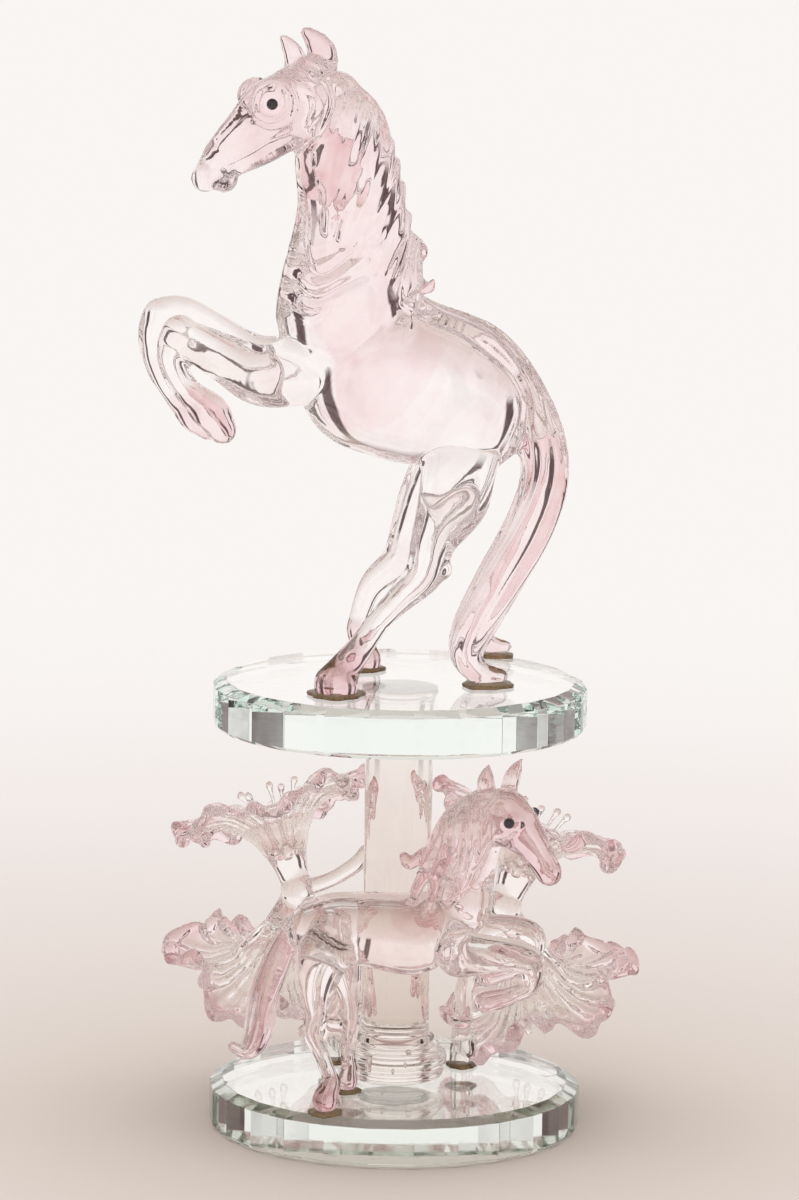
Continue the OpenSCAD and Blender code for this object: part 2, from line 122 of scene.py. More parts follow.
world = bpy.data.worlds.new("soft_boxes")
world.use_nodes = True
world.cycles.sampling_method = "NONE"
scene.world = world
tree = world.node_tree
direction = tree.nodes.new("ShaderNodeSeparateXYZ")
tree.links.new(tree.nodes.new("ShaderNodeTexCoord").outputs["Generated"], direction.inputs[0])
bearing = maths(tree, "ABSOLUTE", maths(tree, "ARCTAN2", direction.outputs["X"], direction.outputs["Y"]))
above_high = maths(tree, "SUBTRACT", direction.outputs["Z"], HIGH_FROM)
raised = maths(tree, "MULTIPLY", above_high, HEIGHT_FADE, clamp=True)
above_boxes = maths(tree, "SUBTRACT", direction.outputs["Z"], CEILING_FROM)
overhead = maths(tree, "MULTIPLY", above_boxes, HEIGHT_FADE, clamp=True)
around = SOFT_BOX
for centre, half, colour in GAPS:
    off = maths(tree, "ABSOLUTE", maths(tree, "SUBTRACT", bearing, math.radians(centre)))
    inside = maths(tree, "MULTIPLY", maths(tree, "SUBTRACT", math.radians(half), off), GAP_EDGE, clamp=True)
    around = blend_colours(tree, inside, around, blend_colours(tree, raised, colour, HIGH_GAP))
surround = blend_colours(tree, overhead, around, CEILING)
light_path = tree.nodes.new("ShaderNodeLightPath")
lighting = blend_colours(tree, light_path.outputs["Is Diffuse Ray"], surround, (PAPER_LIGHT,) * 3)
seen = blend_colours(tree, light_path.outputs["Is Camera Ray"], lighting, PAPER_FAR)
tree.links.new(seen, tree.nodes["Background"].inputs["Color"])

# The floor paper is painted darker and warmer towards its middle, round the pieces: painted shade. Its
# colours are divided by the light it gets, so they render as given, and its edge fades into the backdrop.
paper = bpy.data.materials.new("paper_painted_shade")
paper.use_nodes = True
tree = paper.node_tree
tree.nodes.clear()
place = tree.nodes.new("ShaderNodeVectorMath")
place.operation = "LENGTH"
tree.links.new(tree.nodes.new("ShaderNodeTexCoord").outputs["Object"], place.inputs[0])
reach = maths(tree, "DIVIDE", place.outputs["Value"], FLOOR_R)
painted_shade_tones = [(r / FLOOR_R, tuple(c / PAPER_LIGHT for c in colour)) for r, colour in PAPER_SHADE_TONES]
painted_shade = ramp(tree, reach, painted_shade_tones, smooth=False)
diffuse = tree.nodes.new("ShaderNodeBsdfDiffuse")
tree.links.new(painted_shade, diffuse.inputs["Color"])
clear = tree.nodes.new("ShaderNodeBsdfTransparent")
mixed = tree.nodes.new("ShaderNodeMixShader")
tree.links.new(ramp(tree, reach, [(0.45, (0, 0, 0)), (0.98, (1, 1, 1))]), mixed.inputs["Fac"])
tree.links.new(diffuse.outputs[0], mixed.inputs[1])
tree.links.new(clear.outputs[0], mixed.inputs[2])
tree.links.new(mixed.outputs[0], tree.nodes.new("ShaderNodeOutputMaterial").inputs["Surface"])

bm = bmesh.new()
bmesh.ops.create_circle(bm, cap_ends=True, segments=96, radius=FLOOR_R)
floor_mesh = bpy.data.meshes.new("floor")
bm.to_mesh(floor_mesh)
bm.free()
floor_mesh.materials.append(paper)
floor = bpy.data.objects.new("floor", floor_mesh)
scene.collection.objects.link(floor)
floor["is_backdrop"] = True

camera_data = bpy.data.cameras.new("camera")
camera_data.lens = 166.1
camera_data.sensor_width = 36
camera_data.clip_start, camera_data.clip_end = 0.05, 50
camera = bpy.data.objects.new("camera", camera_data)
camera.location = (-0.0004, -1.156, 0.305)
look_down, roll = math.radians(9.4), math.radians(0.86)
aim = Matrix.Rotation(math.pi / 2 - look_down, 3, "X") @ Matrix.Rotation(roll, 3, "Z")
camera.rotation_euler = aim.to_euler()
scene.collection.objects.link(camera)
scene.camera = camera
scene.view_settings.view_transform = "Standard"
scene.cycles.max_bounces = 32
scene.cycles.transmission_bounces = 32
scene.cycles.glossy_bounces = 32


# ---- Lower disc ----
# A disc of clear crystal, sawn, ground to 26 flats round the rim, bevelled and polished, then
# silvered underneath. The silvering is its own thin film, a hair inside the polished face.

MM = 0.001
FLATS = 26
flat_share = math.cos(math.pi / FLATS)
disc_corner_r = (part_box("base_disc")[1].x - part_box("base_disc")[0].x) / 2 / MM
top_cut_w, top_cut_h, under_cut = 2.6, 1.3, 0.8
edge_ease = 0.05
film_overlap = 0.02


def finish_piece(name, bm, material, nodes, smooth=True):
    """Makes a millimetre bmesh a piece in metres that stands for its CAD nodes."""
    bmesh.ops.recalc_face_normals(bm, faces=bm.faces)
    mesh = bpy.data.meshes.new(name)
    bm.to_mesh(mesh)
    bm.free()
    place_piece(name, mesh, material, nodes, smooth)


def place_piece(name, mesh, material, nodes, smooth=True):
    """Scales a finished millimetre mesh to metres and hangs it on the frame."""
    mesh.transform(Matrix.Scale(MM, 4))
    mesh.polygons.foreach_set("use_smooth", [smooth] * len(mesh.polygons))
    mesh.materials.append(material)
    mesh.update()
    piece = bpy.data.objects.new(name, mesh)
    scene.collection.objects.link(piece)
    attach(piece, "root")
    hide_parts(*nodes)


def principled(name):
    """A new material, its node tree and its shader."""
    material = bpy.data.materials.new(name)
    material.use_nodes = True
    return material, material.node_tree, material.node_tree.nodes["Principled BSDF"]


def object_noise(tree, scale, detail=2.0, stretch=(1, 1, 1)):
    """Noise that stays with the piece. Scale counts features in a metre."""
    coordinates = tree.nodes.new("ShaderNodeTexCoord")
    mapping = tree.nodes.new("ShaderNodeMapping")
    mapping.inputs["Scale"].default_value = stretch
    noise = tree.nodes.new("ShaderNodeTexNoise")
    noise.inputs["Scale"].default_value = scale
    noise.inputs["Detail"].default_value = detail
    tree.links.new(coordinates.outputs["Object"], mapping.inputs[0])
    tree.links.new(mapping.outputs[0], noise.inputs["Vector"])
    return noise.outputs["Fac"]


def bump(tree, shader, height, strength, distance):
    """Raises the surface by a height pattern. Distance is in metres."""
    node = tree.nodes.new("ShaderNodeBump")
    node.inputs["Strength"].default_value = strength
    node.inputs["Distance"].default_value = distance
    tree.links.new(height, node.inputs["Height"])
    tree.links.new(node.outputs["Normal"], shader.inputs["Normal"])


def faceted_disc(bottom, top, turn):
    """The cut disc, its faces flat and its edges very lightly eased."""
    height = top - bottom
    bm = bmesh.new()
    radius = disc_corner_r - under_cut / flat_share
    bmesh.ops.create_circle(bm, cap_ends=True, segments=FLATS, radius=radius,
                            matrix=Matrix.Rotation(math.pi / FLATS + turn, 4, "Z"))
    face = bm.faces[:]
    corners = [disc_corner_r, disc_corner_r, disc_corner_r - top_cut_w / flat_share]
    rises = [under_cut, height - under_cut - top_cut_h, top_cut_h]
    for level, (corner_r, rise) in enumerate(zip(corners, rises)):
        grown = bmesh.ops.extrude_face_region(bm, geom=face)
        if level:
            bmesh.ops.delete(bm, geom=face, context="FACES_ONLY")
        rim = [g for g in grown["geom"] if isinstance(g, bmesh.types.BMVert)]
        face = [g for g in grown["geom"] if isinstance(g, bmesh.types.BMFace)]
        share = corner_r / radius
        bmesh.ops.scale(bm, vec=(share, share, 1), verts=rim)
        bmesh.ops.translate(bm, vec=(0, 0, rise), verts=rim)
        radius = corner_r
    bmesh.ops.recalc_face_normals(bm, faces=bm.faces)
    bmesh.ops.bevel(bm, geom=bm.edges[:], offset=edge_ease, offset_type="OFFSET", segments=1,
                    profile=0.5, affect="EDGES", material=-1)
    bmesh.ops.translate(bm, vec=(0, 0, bottom), verts=bm.verts)
    return bm


crystal, tree, shader = principled("disc_crystal")
shader.inputs["Base Color"].default_value = (1, 1, 1, 1)
shader.inputs["Transmission Weight"].default_value = 1
shader.inputs["IOR"].default_value = 1.52
polish = object_noise(tree, 900, 3)
tree.links.new(ramp(tree, polish, [(0.45, (0.0,) * 3), (0.8, (0.035,) * 3)]), shader.inputs["Roughness"])
bump(tree, shader, object_noise(tree, 160, 1), 0.25, 0.00004)
green_cast = tree.nodes.new("ShaderNodeVolumeAbsorption")
green_cast.inputs["Color"].default_value = (0.62, 0.88, 0.80, 1)
green_cast.inputs["Density"].default_value = 3.5
tree.links.new(green_cast.outputs[0], tree.nodes["Material Output"].inputs["Volume"])

silver, tree, shader = principled("mirror_film")
shader.inputs["Metallic"].default_value = 1
shader.inputs["Base Color"].default_value = (0.93, 0.92, 0.90, 1)
tree.links.new(ramp(tree, object_noise(tree, 300, 4), [(0.4, (0.02,) * 3), (0.75, (0.09,) * 3)]),
               shader.inputs["Roughness"])
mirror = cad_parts["base_mirror"]
mirror.data.materials.clear()
mirror.data.materials.append(silver)

lower_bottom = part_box("base_disc")[0].z / MM
lower_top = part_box("base_disc")[1].z / MM
finish_piece("lower_disc", faceted_disc(lower_bottom - film_overlap, lower_top, math.radians(-0.7)),
             crystal, ["base_disc"], smooth=False)


# ---- Column and its cushion foot ----
# A solid glass rod, flared at both ends in the flame, on a pressed round foot with a few seed
# bubbles. Clear glue joins the foot to the lower disc and the flare to the upper one.

def lathe(bm, profile, steps=96):
    """Spins a closed half outline of [radius, height] about the upright axis."""
    points = [bm.verts.new((r, 0, z)) for r, z in profile]
    lines = [bm.edges.new(pair) for pair in zip(points, points[1:])]
    bmesh.ops.spin(bm, geom=points + lines, cent=(0, 0, 0), axis=(0, 0, 1), angle=math.tau,
                   steps=steps, use_merge=True)
    bmesh.ops.remove_doubles(bm, verts=bm.verts, dist=0.001)


def arc(cx, cz, r, start, end, steps=8):
    """Points of [radius, height] round a centre, in degrees from the level."""
    angles = [math.radians(start + (end - start) * i / steps) for i in range(steps + 1)]
    return [(cx + r * math.cos(a), cz + r * math.sin(a)) for a in angles]


def seed_bubble(bm, x, y, z, r):
    """A bubble of air: a ball whose faces look inwards, into the air."""
    ball = bmesh.ops.create_icosphere(bm, subdivisions=3, radius=r, matrix=Matrix.Translation((x, y, z)))
    faces = {f for v in ball["verts"] for f in v.link_faces}
    bmesh.ops.recalc_face_normals(bm, faces=list(faces))
    bmesh.ops.reverse_faces(bm, faces=list(faces))


rod_glass, tree, shader = principled("rod_glass")
shader.inputs["Base Color"].default_value = (0.93, 0.885, 0.85, 1)
shader.inputs["Transmission Weight"].default_value = 1
shader.inputs["IOR"].default_value = 1.5
tree.links.new(ramp(tree, object_noise(tree, 500, 3), [(0.5, (0.0,) * 3), (0.85, (0.03,) * 3)]),
               shader.inputs["Roughness"])
bump(tree, shader, object_noise(tree, 110, 1.5, (1, 1, 0.3)), 0.35, 0.00012)

hair = 0.03
foot_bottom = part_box("column_foot")[0].z / MM
foot_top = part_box("column_foot")[1].z / MM
foot_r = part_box("column_foot")[1].x / MM
column_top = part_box("column")[1].z / MM
flare_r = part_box("column")[1].x / MM
flare_step = 1.0
column_r = flare_r - flare_step

bm = bmesh.new()
foot_mid = (foot_bottom + foot_top) / 2
lathe(bm, [(0, foot_bottom + hair), (foot_r - 2.6, foot_bottom + hair),
           *arc(foot_r - 1.9, foot_bottom + 1.4, 1.25, -75, 55, 6),
           *arc(foot_r - 2.6, foot_mid + 0.3, 2.6, -38, 50, 8),
           *arc(foot_r - 2.5, foot_top - 1.1, 0.95, -15, 85, 6),
           (foot_r - 3.4, foot_top - hair), (0, foot_top - hair)])
bmesh.ops.recalc_face_normals(bm, faces=bm.faces)
for degrees, r, up, size in [
        (250, 6.5, 2.6, 0.5), (285, 8.2, 4.2, 0.36), (300, 5.0, 5.6, 0.6), (232, 7.6, 5.0, 0.42),
        (268, 7.8, 3.4, 0.3), (318, 7.0, 3.0, 0.45), (215, 5.2, 3.2, 0.5), (40, 7.0, 4.0, 0.5),
        (130, 6.4, 3.4, 0.4)]:
    angle = math.radians(degrees)
    seed_bubble(bm, r * math.cos(angle), r * math.sin(angle), foot_bottom + up, size)
foot_mesh = bpy.data.meshes.new("cushion_foot")
bm.to_mesh(foot_mesh)
bm.free()
place_piece("cushion_foot", foot_mesh, rod_glass, ["column_foot"])

bm = bmesh.new()
lathe(bm, [(0, foot_top), (column_r + 0.9, foot_top),
           *arc(column_r + 0.75, foot_top + 0.55, 0.5, -60, 60, 5),
           (column_r + 0.35, foot_top + 1.3), (column_r + 0.1, foot_top + 2.2), (column_r, foot_top + 3.6),
           *[(column_r, foot_top + 3.6 + (column_top - foot_top - 8.6) * i / 6) for i in range(1, 7)],
           (column_r + 0.12, column_top - 3.2), (column_r + 0.45, column_top - 1.9),
           *arc(flare_r - 0.6, column_top - 0.75, 0.6, -40, 80, 6), (flare_r - 1.2, column_top - hair),
           (0, column_top - hair)])
finish_piece("column_rod", bm, rod_glass, ["column"])


def glue(name, colour, rough):
    """Set adhesive: clear to amber, cloudy, with tiny trapped bubbles."""
    material, tree, shader = principled(name)
    grain = object_noise(tree, 1500, 3)
    deep = tuple(c * 0.7 for c in colour)
    tree.links.new(ramp(tree, grain, [(0.3, deep), (0.7, colour)]), shader.inputs["Base Color"])
    shader.inputs["Transmission Weight"].default_value = 0.75
    shader.inputs["IOR"].default_value = 1.48
    tree.links.new(ramp(tree, grain, [(0.3, (rough,) * 3), (0.8, (rough + 0.3,) * 3)]),
                   shader.inputs["Roughness"])
    bump(tree, shader, object_noise(tree, 2200, 2), 0.5, 0.00015)
    return material


clear_glue = glue("clear_glue", (0.97, 0.95, 0.92), 0.0)
film_edge = 0.25
for node in ("foot_glue", "column_top_glue"):
    low, high = (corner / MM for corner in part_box(node))
    bm = bmesh.new()
    half, reach = (high.z - low.z) / 2, high.x - film_edge
    lathe(bm, [(0, low.z + hair), (reach, low.z + hair), *arc(reach, low.z + half, half - hair, -80, 80, 6),
               (reach, high.z - hair), (0, high.z - hair)], 64)
    finish_piece(node + "_film", bm, clear_glue, [node])


# ---- Upper disc ----
# The same cut disc without silvering, so the column's flare shows through it as a pale ring.

upper_bottom, upper_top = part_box("upper_disc")[0].z / MM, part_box("upper_disc")[1].z / MM
finish_piece("upper_disc_crystal", faceted_disc(upper_bottom, upper_top, math.radians(-2.3)),
             crystal, ["upper_disc"], smooth=False)


# ---- Big rearing horse ----
# Clear soda glass pulled and pinched at the torch: a thick body, legs, neck and head drawn from
# rods, then pink glass for the face, mane, hooves and tail, all melted into one piece.

def through_beads(beads, steps):
    """Beads of [x, y, z, radius] with smooth ones between, as soft glass hangs."""
    p = np.array(beads, float)
    p = np.vstack([2 * p[0] - p[1], p, 2 * p[-1] - p[-2]])
    p[0, 3], p[-1, 3] = p[1, 3], p[-2, 3]
    found = []
    for a, b, c, d in zip(p, p[1:], p[2:], p[3:]):
        for t in np.arange(steps) / steps:
            found.append(0.5 * (2 * b + (c - a) * t + (2 * a - 5 * b + 4 * c - d) * t ** 2
                                + (3 * b - a - 3 * c + d) * t ** 3))
    return np.array(found + [p[-2]])


def draw_glass(bm, beads, flat, sides, steps, ridges=0, depth=0.0, twist=0.0):
    """One rod drawn through beads, its ends round. Flat squeezes it from front to back."""
    stations = through_beads(beads, steps)
    ahead = np.gradient(stations[:, :3], axis=0)
    rounds = [math.radians(a) for a in (80, 55, 25)]
    rings = []
    for a in rounds:
        at, r, d = Vector(stations[0, :3]), stations[0, 3], Vector(ahead[0]).normalized()
        rings.append((at - d * r * math.sin(a), d, r * math.cos(a)))
    for s, d in zip(stations, ahead):
        rings.append((Vector(s[:3]), Vector(d).normalized(), max(s[3], 0.2)))
    for a in reversed(rounds):
        at, r, d = Vector(stations[-1, :3]), stations[-1, 3], Vector(ahead[-1]).normalized()
        rings.append((at + d * r * math.sin(a), d, r * math.cos(a)))
    turn = Vector((0, 0, 1)).rotation_difference(rings[0][1])
    before = rings[0][1]
    last = None
    for i, (at, d, r) in enumerate(rings):
        turn = before.rotation_difference(d) @ turn
        before = d
        spun = turn @ Quaternion((0, 0, 1), math.radians(twist * i))
        squeeze = Matrix.Diagonal((1, flat, 1, 1))
        matrix = Matrix.Translation(at) @ squeeze @ spun.to_matrix().to_4x4() @ Matrix.Scale(r, 4)
        if last is None:
            verts = bmesh.ops.create_circle(bm, segments=sides, radius=1)["verts"]
            for v in verts:
                v.co *= 1 + depth * math.cos(ridges * math.atan2(v.co.y, v.co.x))
            edges = list({e for v in verts for e in v.link_edges})
            bmesh.ops.transform(bm, matrix=matrix, verts=verts)
            bmesh.ops.contextual_create(bm, geom=edges)
        else:
            grown = bmesh.ops.extrude_edge_only(bm, edges=edges)["geom"]
            verts = [g for g in grown if isinstance(g, bmesh.types.BMVert)]
            edges = [g for g in grown if isinstance(g, bmesh.types.BMEdge)]
            bmesh.ops.transform(bm, matrix=matrix @ last.inverted(), verts=verts)
        last = matrix
    bmesh.ops.contextual_create(bm, geom=edges)


def blob(bm, x, y, z, r, flat=1.0):
    """A pressed-on ball of glass."""
    matrix = Matrix.Translation((x, y, z)) @ Matrix.Diagonal((r, r * flat, r, 1))
    bmesh.ops.create_icosphere(bm, subdivisions=3, radius=1, matrix=matrix)


def melt(bm, grain, soften):
    """Melts overlapping rods into one skin of even quads without trapped air. Grain is the quad's size."""
    bmesh.ops.recalc_face_normals(bm, faces=bm.faces)
    mesh = bpy.data.meshes.new("melting")
    bm.to_mesh(mesh)
    bm.free()
    lump = bpy.data.objects.new("melting", mesh)
    scene.collection.objects.link(lump)
    skin = lump.modifiers.new("skin", "REMESH")
    skin.mode = "VOXEL"
    skin.voxel_size = grain
    flow = lump.modifiers.new("flow", "SMOOTH")
    flow.factor = 0.5
    flow.iterations = soften
    flowed = lump.evaluated_get(bpy.context.evaluated_depsgraph_get())
    melted = bpy.data.meshes.new_from_object(flowed)
    bpy.data.objects.remove(lump)
    bm = bmesh.new()
    bm.from_mesh(melted)
    shells, found = [], set()
    for start in bm.verts:
        if start in found:
            continue
        found.add(start)
        shell = [start]
        for v in shell:
            beside = [e.other_vert(v) for e in v.link_edges]
            fresh = [other for other in beside if other not in found]
            found.update(fresh)
            shell.extend(fresh)
        shells.append(shell)
    shells.sort(key=len)
    trapped = [v for shell in shells[:-1] for v in shell]
    bmesh.ops.delete(bm, geom=trapped, context="VERTS")
    bm.to_mesh(melted)
    bm.free()
    return melted


def stain(mesh, coloured):
    """Writes how pink the glass is at each point, from lists of (beads, pink)."""
    spots = [(bead, pink) for beads, pink in coloured for bead in through_beads(beads, 3)]
    tree = KDTree(len(spots))
    for i, (bead, pink) in enumerate(spots):
        tree.insert(bead[:3], i)
    tree.balance()
    shades = []
    for v in mesh.vertices:
        total, weight = 0.0, 0.0
        for _, i, distance in tree.find_n(v.co, 5):
            bead, pink = spots[i]
            w = 1 / (0.05 + max(distance / bead[3] - 0.6, 0)) ** 2
            total, weight = total + pink * w, weight + w
        shades.append(total / weight)
    mesh.attributes.new("pink", "FLOAT", "POINT").data.foreach_set("value", shades)


def press(mesh, lines):
    """Pushes the soft skin in or out along lines of [x, z, width, push], alike on both its sides."""
    marks = [mark for line in lines for mark in through_beads(line, 5)]
    tree = KDTree(len(marks))
    for i, mark in enumerate(marks):
        tree.insert((mark[0], mark[1], 0), i)
    tree.balance()
    moves = []
    for v in mesh.vertices:
        _, i, distance = tree.find((v.co.x, v.co.z, 0))
        away = distance / marks[i][2]
        if away < 1:
            moves.append((v.index, v.co + v.normal * marks[i][3] * (1 - away ** 2) ** 2))
    bm = bmesh.new()
    bm.from_mesh(mesh)
    bm.verts.ensure_lookup_table()
    for index, place in moves:
        bm.verts[index].co = place
    pressed = [bm.verts[index] for index, _ in moves]
    for _ in range(4):
        bmesh.ops.smooth_vert(bm, verts=pressed, factor=0.5,
                              use_axis_x=True, use_axis_y=True, use_axis_z=True)
    bm.to_mesh(mesh)
    bm.free()


def rose_glass(name, clear, rose, deep):
    """Lampwork glass that goes from clear to rose with the piece's own pink attribute."""
    material, tree, shader = principled(name)
    pink = tree.nodes.new("ShaderNodeAttribute")
    pink.attribute_name = "pink"
    mottle = maths(tree, "MULTIPLY", maths(tree, "SUBTRACT", object_noise(tree, 170, 3), 0.5), 1.1)
    amount = maths(tree, "ADD", pink.outputs["Fac"], mottle, clamp=True)
    tree.links.new(ramp(tree, amount, [(0.0, clear), (0.55, rose), (1.0, deep)], smooth=False),
                   shader.inputs["Base Color"])
    shader.inputs["Transmission Weight"].default_value = 1
    shader.inputs["IOR"].default_value = 1.5
    tree.links.new(ramp(tree, object_noise(tree, 600, 3), [(0.5, (0.0,) * 3), (0.85, (0.03,) * 3)]),
                   shader.inputs["Roughness"])
    bump(tree, shader, object_noise(tree, 130, 2), 0.3, 0.00015)
    return material


BODY_FLAT, ROD_FLAT, EAR_FLAT, SMALL_EAR_FLAT = 0.82, 0.9, 0.6, 0.65
body = [[-15, -8, 70, 12.3], [-8.5, -7, 66, 15.8], [0, -6, 63.6, 16.3], [7, -5.5, 61.4, 15.8],
        [12.8, -5, 58.2, 14]]
shoulder = [[-14, -8, 75, 12.4], [-5, -7.5, 72.5, 11.4], [3, -6.5, 69, 9.5]]
neck = [[-12.5, -7.5, 78, 14.8], [-12.8, -8, 85, 13.8], [-13.4, -8, 94.5, 11], [-14.4, -8.5, 103, 8.6],
        [-15.6, -9, 111.5, 8], [-16, -9, 121.5, 6.5]]
head = [[-20.5, -9.5, 121.8, 8], [-26.5, -11.5, 120.2, 8.2], [-31.8, -13.5, 116, 6.9],
        [-37.6, -15.5, 111.4, 4.9], [-40.4, -16.3, 108.2, 3.7]]
near_ear = [[-17.6, -12, 129.6, 3], [-17.9, -12.8, 132.8, 3.2], [-19.3, -13.2, 135.2, 2.7],
            [-21.2, -13.6, 137.2, 1.6]]
far_ear = [[-23.4, -7, 129.8, 2.5], [-24, -6.4, 132.2, 2.4], [-25.1, -6, 134, 1.9],
           [-26.2, -5.6, 135.4, 1.2]]
near_foreleg = [[-21, -12, 67, 7], [-29.5, -15, 66.2, 6.2], [-36, -16.5, 69.2, 5.2], [-42.5, -17, 72.6, 4.4],
                [-47, -17, 74.3, 3.8], [-48.2, -17, 69.7, 3.1], [-46.5, -17, 65, 2.8], [-44, -17, 62, 2.8]]
near_forehoof = [[-44, -17, 62, 3.1], [-40.2, -17, 58.5, 4.2], [-37.7, -17, 55, 3.2]]
far_foreleg = [[-22, -3, 67.5, 6], [-31.5, 0, 68.6, 4.6], [-40, 1, 73.2, 4.3], [-47.3, 2, 76.6, 4.2],
               [-51.8, 2, 75.4, 3.8], [-52.8, 2, 69.8, 3.1], [-51, 2, 64, 2.8], [-47.7, 2, 59.3, 2.8]]
far_forehoof = [[-47.7, 2, 59.3, 2.9], [-44, 2, 55.5, 3.8], [-41.3, 2, 53, 3]]
near_hind_leg = [[12, -8, 49, 8.6], [10.6, -12.5, 41, 7.8], [6.6, -16.6, 32.5, 4.8], [4.6, -18, 25.5, 3.9],
                 [-0.3, -18.5, 20.3, 3], [-4.8, -19, 15.4, 2.6], [-8.4, -20, 10, 2.8]]
near_hind_hoof = [[-8.4, -20, 10, 3], [-11.5, -21, 6, 3.5], [-13.3, -21, 2.5, 4.9]]
far_hind_leg = [[10, 0, 47, 7.4], [5, 3, 38.5, 5.8], [1, 5.5, 29, 4], [-0.5, 7, 24.5, 3.8],
                [-6, 8, 19.5, 2.8], [-8.3, 9, 14, 2.4], [-9.3, 10, 9, 2.3]]
far_hind_hoof = [[-9.3, 10, 9, 2.6], [-8.3, 10, 5.5, 2.8], [-7.8, 10, 2.2, 3.9]]
tail_foot_y = 29
near_tail = [[-4, -8, 83, 4], [4, -7.4, 77, 4.6], [11.4, -6.6, 74.2, 4.6], [16.4, -6, 71.8, 4.6],
             [20.6, -5.4, 67.4, 4.8], [25.2, -5, 60.4, 4.8], [28.8, -5.2, 52, 4.8],
             [29.6, -5.8, 43.6, 4.8], [26.6, -7, 33.6, 5], [20.4, -7, 21.8, 4.9], [15.2, -7, 12, 4.3],
             [13.8, -7, 6.5, 3.5], [16.4, -7, 3, 2.6], [21.5, -7, 2.2, 1.5]]
far_tail = [[21, 0, 63, 4], [27.6, 3, 54, 3.8], [30, tail_foot_y * 0.35, 42, 3.8],
            [26.3, tail_foot_y * 0.55, 29.5, 3.8],
            [20.6, tail_foot_y * 0.72, 17, 3.4], [17.3, tail_foot_y * 0.86, 8.5, 2.9],
            [18.5, tail_foot_y * 0.97, 3.3, 2.2], [23, tail_foot_y, 2.2, 1.4]]
crest = [[-16.4, -8, 128.6], [-13.3, -8, 126.6], [-9.9, -8, 124.6], [-7.2, -8, 122], [-5.3, -8, 118.8],
         [-4, -8, 115.2], [-2.7, -8, 111], [-1.5, -8, 106.2], [-0.3, -8, 100], [1.2, -8, 94], [2.2, -8, 90]]
mane_mass = [[-14, -9, 126, 2.6], [-9, -8, 121, 3.2], [-6.6, -8, 115, 3.4], [-5, -8, 105, 3.6],
             [-3, -8, 95, 3.6], [-1, -8, 87, 3.6]]
inner_mass = [[-14, -10, 122, 4], [-11, -9, 114, 4.4], [-9.5, -8.5, 103, 5], [-7.5, -8, 93, 4.6]]

bm = bmesh.new()
draw_glass(bm, body, BODY_FLAT, 40, 6)
draw_glass(bm, shoulder, BODY_FLAT, 32, 6)
draw_glass(bm, neck, BODY_FLAT, 36, 6)
draw_glass(bm, head, BODY_FLAT, 32, 6)
for ear in (near_ear, far_ear):
    draw_glass(bm, ear, EAR_FLAT, 20, 6)
for leg in (near_foreleg, far_foreleg, near_hind_leg, far_hind_leg):
    draw_glass(bm, leg, ROD_FLAT, 28, 6, ridges=4, depth=0.07, twist=2.5)
for hoof in (near_forehoof, far_forehoof, near_hind_hoof, far_hind_hoof):
    draw_glass(bm, hoof, ROD_FLAT, 24, 4)
for strand in (near_tail, far_tail):
    draw_glass(bm, strand, ROD_FLAT, 42, 6, ridges=5, depth=0.15, twist=1.5)
core = [[-15, -9, 124, 5.4], [-12, -8.6, 118, 7], [-10, -8.5, 110, 7.6], [-8.4, -8.4, 102, 8],
        [-7, -8, 94, 8.2], [-4.5, -8, 87.5, 6.6]]
strands = [mane_mass, inner_mass, core]
for side in (-1, 1):
    for i, (x, y, z) in enumerate(crest):
        reach = 1 + 0.15 * math.sin(2.3 * i + side)
        sweep = min(1, 0.3 + 0.12 * i)
        strands.append([[x, y + side * 2, z - 1, 1.5], [x - 0.8, y + side * 6, z - 7 * reach, 1.7],
                        [x - 2.8 * sweep, y + side * 8, z - 14 * reach, 1.6],
                        [x - 5.2 * sweep, y + side * 8.8, z - 20 * reach, 1.4],
                        [x - 7.4 * sweep, y + side * 9, z - 26 * reach, 0.9]])
        strands.append([[x - 2.6 * sweep, y + side * 5, z - 1, 1.4],
                        [x - 4.8 * sweep, y + side * 8, z - 8 * reach, 1.6],
                        [x - 7.6 * sweep, y + side * 9.2, z - 15 * reach, 1.5],
                        [x - 10.2 * sweep, y + side * 9.6, z - 21 * reach, 1]])
curls = [[[0.2, -9, 95, 1.5], [2.6, -9, 93.4, 1.3], [3.8, -9, 91.6, 1.1], [2.8, -9, 90.2, 0.8]],
         [[0, -10, 90, 1.8], [1.8, -10, 86.6, 1.6], [4, -9.4, 84.4, 1.3], [5.4, -9, 84.2, 1],
          [5.6, -8.6, 85.8, 0.8]]]
for strand in strands + curls:
    draw_glass(bm, strand, ROD_FLAT, 14, 3)
lips_brows_and_poll = [(-37.8, -17.8, 107.2, 3), (-41.8, -14.2, 107, 3.1), (-31.8, -6.6, 123.6, 4, 0.8),
                       (-28.4, -15.6, 122.6, 4.2, 0.8), (-20.4, -10.5, 128.4, 4.2)]
hocks_and_knees = [(8.4, -18, 26.4, 2.3), (8, -15, 30.8, 1.6), (-9.6, -21.6, 8.6, 2.4), (2.6, 6.5, 26, 2.2),
                   (-46.6, -17, 75, 4), (-51.4, 2, 76.4, 4)]
for lump in lips_brows_and_poll + hocks_and_knees:
    blob(bm, *lump)
melted = melt(bm, grain=0.54, soften=15)
